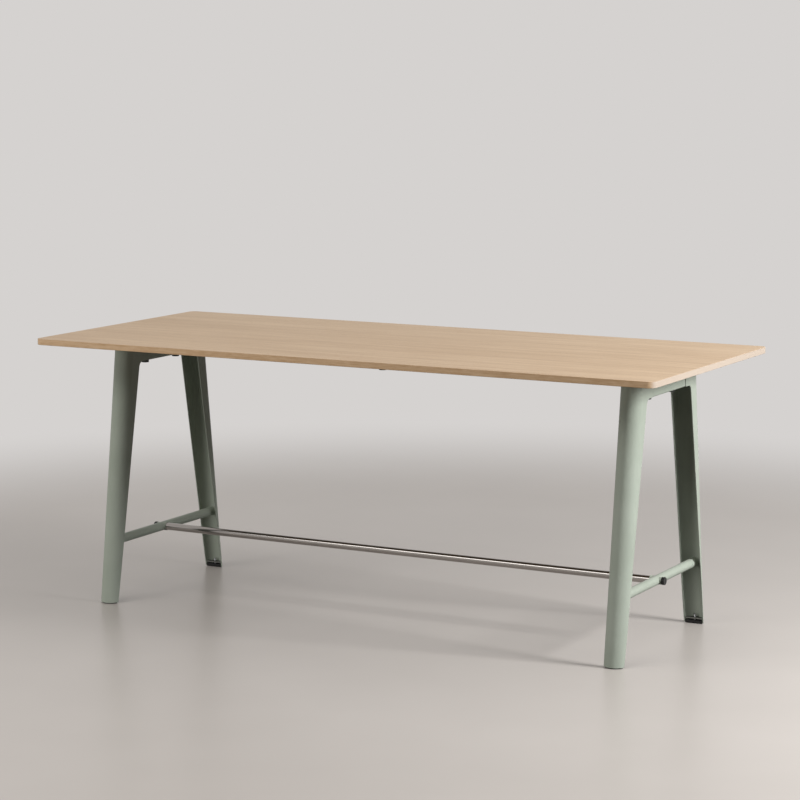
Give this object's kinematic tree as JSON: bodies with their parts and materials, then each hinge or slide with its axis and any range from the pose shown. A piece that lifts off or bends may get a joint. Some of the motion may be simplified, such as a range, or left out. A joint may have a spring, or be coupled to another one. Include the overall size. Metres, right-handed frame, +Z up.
{
  "type": "high table",
  "caption": "Long high table: oak top on two trestles of bent half-pipe steel legs, with cross rails, a stainless footrest bar, thumb screws and levelling feet.",
  "frame": {"origin": "on the floor under the centre of the top", "axes": "+Z up, +X along the table's length, +Y across it to the back"},
  "size_m": [2.2, 0.95, 0.9],
  "materials": {
    "oak": "matt lacquered oak veneer, grain along the table",
    "green_powder_coat": "matt sage-green powder coat on steel",
    "stainless": "brushed stainless tube",
    "zinc_steel": "zinc-plated steel",
    "black_plastic": "moulded black plastic"
  },
  "bodies": {
    "table": {"tabletop": "oak", "tabletop_inserts": "zinc_steel", "knob_washers": "zinc_steel", "bar_plug_left": "zinc_steel", "bar_plug_right": "zinc_steel", "beam_left": "green_powder_coat", "beam_right": "green_powder_coat", "stiffener_front": "green_powder_coat", "stiffener_back": "green_powder_coat", "footrest_rail_left": "green_powder_coat", "footrest_rail_right": "green_powder_coat", "bar_socket_left": "green_powder_coat", "bar_socket_right": "green_powder_coat", "knob_seat_left": "green_powder_coat", "knob_seat_right": "green_powder_coat", "footrest_bar": "stainless", "leg_front_left": "green_powder_coat", "tongue_front_left": "green_powder_coat", "foot_plate_front_left": "zinc_steel", "leg_back_left": "green_powder_coat", "tongue_back_left": "green_powder_coat", "foot_plate_back_left": "zinc_steel", "leg_front_right": "green_powder_coat", "tongue_front_right": "green_powder_coat", "foot_plate_front_right": "zinc_steel", "leg_back_right": "green_powder_coat", "tongue_back_right": "green_powder_coat", "foot_plate_back_right": "zinc_steel"},
    "leg_knob_front_left": {"leg_front_left_knob": "black_plastic", "leg_front_left_screw": "zinc_steel"},
    "foot_front_left": {"glide_front_left": "black_plastic", "levelling_screw_front_left": "zinc_steel"},
    "leg_knob_back_left": {"leg_back_left_knob": "black_plastic", "leg_back_left_screw": "zinc_steel"},
    "foot_back_left": {"glide_back_left": "black_plastic", "levelling_screw_back_left": "zinc_steel"},
    "leg_knob_front_right": {"leg_front_right_knob": "black_plastic", "leg_front_right_screw": "zinc_steel"},
    "foot_front_right": {"glide_front_right": "black_plastic", "levelling_screw_front_right": "zinc_steel"},
    "leg_knob_back_right": {"leg_back_right_knob": "black_plastic", "leg_back_right_screw": "zinc_steel"},
    "foot_back_right": {"glide_back_right": "black_plastic", "levelling_screw_back_right": "zinc_steel"},
    "stiffener_knob_front": {"stiffener_front_knob": "black_plastic", "stiffener_front_screw": "zinc_steel"},
    "stiffener_knob_back": {"stiffener_back_knob": "black_plastic", "stiffener_back_screw": "zinc_steel"},
    "bar_knob_left": {"bar_left_knob": "black_plastic", "bar_left_screw": "zinc_steel"},
    "bar_knob_right": {"bar_right_knob": "black_plastic", "bar_right_screw": "zinc_steel"}
  },
  "joints": [
    {"name": "leg_knob_front_left_turn", "type": "hinge", "parent": "table", "child": "leg_knob_front_left", "pos_m": [-0.922, -0.093, 0.8], "axis": [0, 0, 1], "continuous": true},
    {"name": "foot_front_left_level", "type": "slide", "parent": "table", "child": "foot_front_left", "axis": [0, 0, -1], "range_m": [0, 0.01]},
    {"name": "leg_knob_back_left_turn", "type": "hinge", "parent": "table", "child": "leg_knob_back_left", "pos_m": [-0.922, 0.093, 0.8], "axis": [0, 0, 1], "continuous": true},
    {"name": "foot_back_left_level", "type": "slide", "parent": "table", "child": "foot_back_left", "axis": [0, 0, -1], "range_m": [0, 0.01]},
    {"name": "leg_knob_front_right_turn", "type": "hinge", "parent": "table", "child": "leg_knob_front_right", "pos_m": [0.922, -0.093, 0.8], "axis": [0, 0, 1], "continuous": true},
    {"name": "foot_front_right_level", "type": "slide", "parent": "table", "child": "foot_front_right", "axis": [0, 0, -1], "range_m": [0, 0.01]},
    {"name": "leg_knob_back_right_turn", "type": "hinge", "parent": "table", "child": "leg_knob_back_right", "pos_m": [0.922, 0.093, 0.8], "axis": [0, 0, 1], "continuous": true},
    {"name": "foot_back_right_level", "type": "slide", "parent": "table", "child": "foot_back_right", "axis": [0, 0, -1], "range_m": [0, 0.01]},
    {"name": "stiffener_knob_front_turn", "type": "hinge", "parent": "table", "child": "stiffener_knob_front", "pos_m": [0, -0.093, 0.83], "axis": [0, 0, 1], "continuous": true},
    {"name": "stiffener_knob_back_turn", "type": "hinge", "parent": "table", "child": "stiffener_knob_back", "pos_m": [0, 0.093, 0.83], "axis": [0, 0, 1], "continuous": true},
    {"name": "bar_knob_left_turn", "type": "hinge", "parent": "table", "child": "bar_knob_left", "pos_m": [-0.945, 0, 0.206], "axis": [1, 0, 0], "continuous": true},
    {"name": "bar_knob_right_turn", "type": "hinge", "parent": "table", "child": "bar_knob_right", "pos_m": [0.945, 0, 0.206], "axis": [1, 0, 0], "continuous": true}
  ]
}
